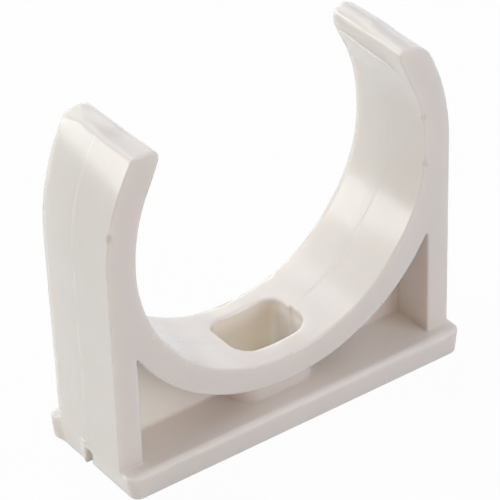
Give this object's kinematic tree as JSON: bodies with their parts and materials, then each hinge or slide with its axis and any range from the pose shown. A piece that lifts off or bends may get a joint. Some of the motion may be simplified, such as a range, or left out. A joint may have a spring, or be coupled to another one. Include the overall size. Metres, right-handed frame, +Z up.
{
  "type": "u-shaped pipe clamp",
  "caption": "Moulded U-shaped clip on a flat base plate: sprung arms hold a pipe in a round cradle above a slotted hole for its fixing screw.",
  "frame": {"origin": "middle of the underside of the base plate", "axes": "+X along the base plate, +Y along the pipe's axis, +Z up through the mouth"},
  "size_m": [0.06, 0.0206, 0.0542],
  "materials": {
    "pipe_clip": "satin white moulded plastic"
  },
  "bodies": {
    "root": {"pipe_clip": "pipe_clip"}
  },
  "joints": []
}
